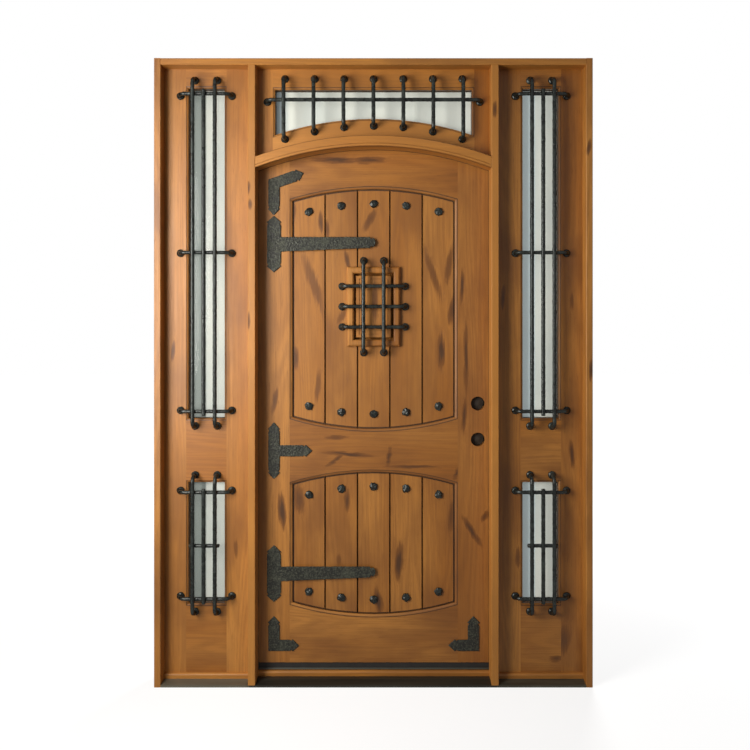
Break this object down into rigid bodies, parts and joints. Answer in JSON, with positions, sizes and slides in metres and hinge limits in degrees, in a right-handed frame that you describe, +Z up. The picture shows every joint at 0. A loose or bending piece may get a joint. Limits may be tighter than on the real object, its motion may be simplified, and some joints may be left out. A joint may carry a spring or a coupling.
{
  "type": "entry door with frame, sidelites and transom",
  "caption": "Arched inswing plank door with strap hinges, clavos and a barred speakeasy, hung in a wooden frame with sidelites and a transom behind forged iron grilles.",
  "frame": {"origin": "middle of the unit's width and depth, on the floor under the sill", "axes": "+X to the right seen from outdoors, +Y from outdoors to indoors, +Z up"},
  "size_m": [1.664, 0.139, 2.386],
  "materials": {
    "knotty_wood": "clear-stained knotty softwood, satin",
    "door_wood": "clear-stained knotty softwood, satin",
    "forged_iron": "hammered dark iron",
    "strap_iron": "grey-green hammered iron plate",
    "bronze_sill": "dark bronze anodised",
    "seal_rubber": "matt black",
    "hinge_steel": "dark steel",
    "clear_glass": "clear insulating unit"
  },
  "bodies": {
    "frame": {"left_jamb": "knotty_wood", "right_jamb": "knotty_wood", "left_mullion": "knotty_wood", "right_mullion": "knotty_wood", "head_jamb": "knotty_wood", "arched_transom_bar": "knotty_wood", "sill": "bronze_sill", "sill_beads": "knotty_wood", "door_weatherstrip": "seal_rubber", "transom_top_rail": "knotty_wood", "transom_left_stile": "knotty_wood", "transom_right_stile": "knotty_wood", "transom_arched_rail": "knotty_wood", "transom_glass": "clear_glass", "transom_grille": "forged_iron", "glazing_beads": "knotty_wood", "left_outer_stile": "knotty_wood", "left_inner_stile": "knotty_wood", "left_top_rail": "knotty_wood", "left_middle_rail": "knotty_wood", "left_bottom_rail": "knotty_wood", "left_upper_glass": "clear_glass", "left_lower_glass": "clear_glass", "left_upper_grille": "forged_iron", "left_lower_grille": "forged_iron", "right_outer_stile": "knotty_wood", "right_inner_stile": "knotty_wood", "right_top_rail": "knotty_wood", "right_middle_rail": "knotty_wood", "right_bottom_rail": "knotty_wood", "right_upper_glass": "clear_glass", "right_lower_glass": "clear_glass", "right_upper_grille": "forged_iron", "right_lower_grille": "forged_iron", "hinge_frame_leaves": "hinge_steel", "hinge_pins": "hinge_steel"},
    "door": {"hinge_door_leaves": "hinge_steel", "hinge_stile": "door_wood", "lock_stile": "door_wood", "door_top_rail": "door_wood", "lock_rail": "door_wood", "door_bottom_rail": "door_wood", "upper_boards": "door_wood", "lower_boards": "door_wood", "clavos": "forged_iron", "top_corner_strap": "strap_iron", "upper_strap": "strap_iron", "middle_strap": "strap_iron", "lower_strap": "strap_iron", "bottom_left_corner_strap": "strap_iron", "bottom_right_corner_strap": "strap_iron", "door_sweep": "seal_rubber", "speakeasy_casing": "door_wood", "speakeasy_grille": "forged_iron", "speakeasy_casing_leaves": "hinge_steel", "speakeasy_hinge_pins": "hinge_steel", "speakeasy_catch": "hinge_steel"},
    "speakeasy": {"speakeasy_door": "door_wood", "speakeasy_door_leaves": "hinge_steel", "speakeasy_knob": "forged_iron"}
  },
  "joints": [
    {"name": "door_swing", "type": "hinge", "parent": "frame", "child": "door", "pos_m": [-0.4585, 0.065, 0], "axis": [0, 0, 1], "range_deg": [0, 110]},
    {"name": "speakeasy_swing", "type": "hinge", "parent": "door", "child": "speakeasy", "pos_m": [-0.0825, 0.0624, 1.445], "axis": [0, 0, 1], "range_deg": [0, 100]}
  ]
}
